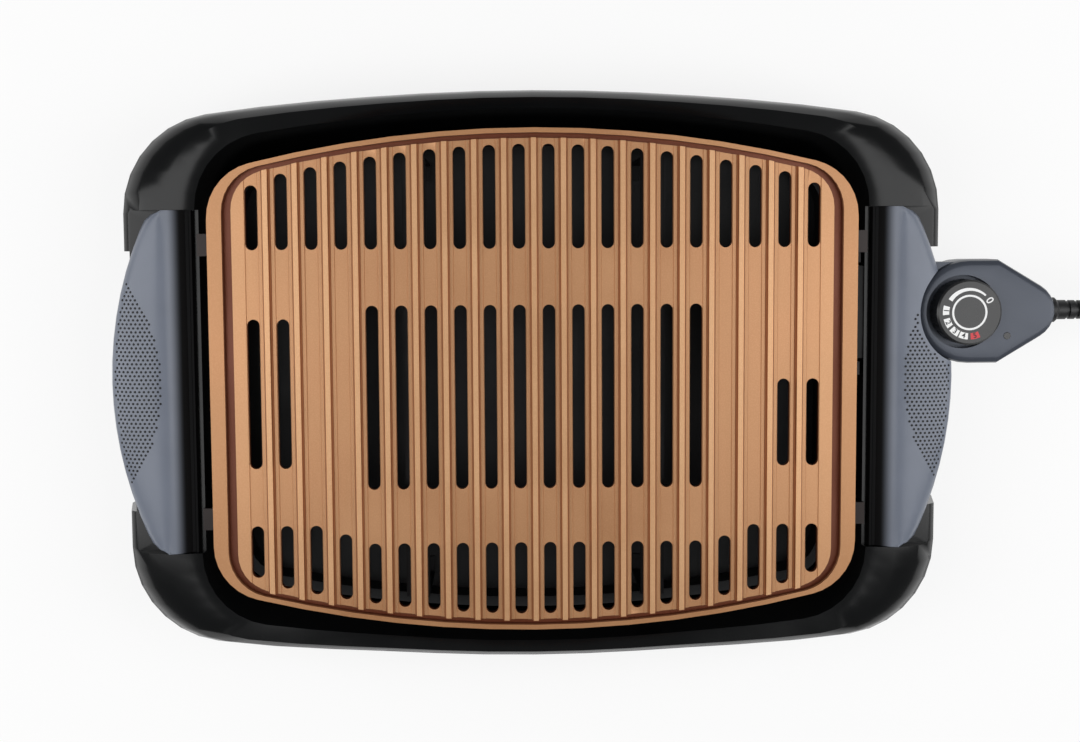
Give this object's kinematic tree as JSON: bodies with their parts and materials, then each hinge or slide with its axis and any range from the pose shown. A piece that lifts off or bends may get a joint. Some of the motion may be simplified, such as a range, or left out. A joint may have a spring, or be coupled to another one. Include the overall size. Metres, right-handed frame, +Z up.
{
  "type": "electric indoor grill",
  "caption": "Countertop electric grill: open black base with side handles, lift-off slotted grill plate, heating element, drip tray and plug-in dial thermostat with cord.",
  "frame": {"origin": "on the table, in the plane of the feet, under the middle of the grill plate", "axes": "+X towards the plug-in control, along the long side of the base; +Y towards the rear; +Z up"},
  "size_m": [0.707, 0.295, 0.0834],
  "materials": {
    "shell_black": "glossy moulded black phenolic",
    "handle_black": "satin black with a fine dotted grip patch",
    "screw_steel": "zinc-plated screws",
    "foot_rubber": "matt rubber",
    "tray_metal": "pressed sheet, dull",
    "element_steel": "heat-stained steel sheath",
    "cradle_steel": "bent steel strip",
    "bushing_ceramic": "unglazed white ceramic",
    "plate_copper": "copper-coloured non-stick coating on cast aluminium",
    "housing_black": "satin-gloss moulded black",
    "socket_black": "heat-proof moulding",
    "contact_brass": "plain brass spring contacts",
    "probe_steel": "polished stainless tube",
    "lead_sleeve": "glass-braid sleeve",
    "lamp_glass": "clear glass lamp",
    "lens_smoke": "smoked clear lens",
    "dial_black": "glossy black with printed scale",
    "cord_black": "matt black cable jacket",
    "tie_black": "plastic strip",
    "blade_brass": "plain brass"
  },
  "bodies": {
    "base": {"base_shell": "shell_black", "left_handle": "handle_black", "right_handle": "handle_black", "handle_screws": "screw_steel", "rubber_feet": "foot_rubber", "foot_screws": "screw_steel", "drip_tray": "tray_metal", "element_strap_left": "cradle_steel", "element_strap_right": "cradle_steel", "heating_element": "element_steel", "element_clips": "cradle_steel", "terminal_pins": "element_steel", "terminal_bushings": "bushing_ceramic", "terminal_bracket": "cradle_steel", "bracket_screws": "screw_steel"},
    "plate": {"grill_plate": "plate_copper"},
    "control": {"control_top": "housing_black", "control_bottom": "housing_black", "housing_screws": "screw_steel", "socket_block": "socket_black", "socket_contacts": "contact_brass", "sensor_probe": "probe_steel", "thermostat_frame": "cradle_steel", "contact_blades": "contact_brass", "lead_wires": "lead_sleeve", "indicator_lamp": "lamp_glass", "indicator_lens": "lens_smoke", "strain_relief": "cord_black", "power_cord": "cord_black", "cord_coil": "cord_black", "cord_tail": "cord_black", "cord_tie": "tie_black", "plug_body": "cord_black", "plug_blades": "blade_brass"},
    "dial": {"dial_spindle": "cradle_steel", "temperature_dial": "dial_black"}
  },
  "joints": [
    {"name": "plate_lift", "type": "slide", "parent": "base", "child": "plate", "axis": [0, 0, 1], "range_m": [0, 0.06]},
    {"name": "control_pull", "type": "slide", "parent": "base", "child": "control", "axis": [1, 0, 0], "range_m": [0, 0.09]},
    {"name": "dial_turn", "type": "hinge", "parent": "control", "child": "dial", "pos_m": [0.2186, 0.033, 0.07], "axis": [0, 0, 1], "range_deg": [-252, 0]}
  ]
}
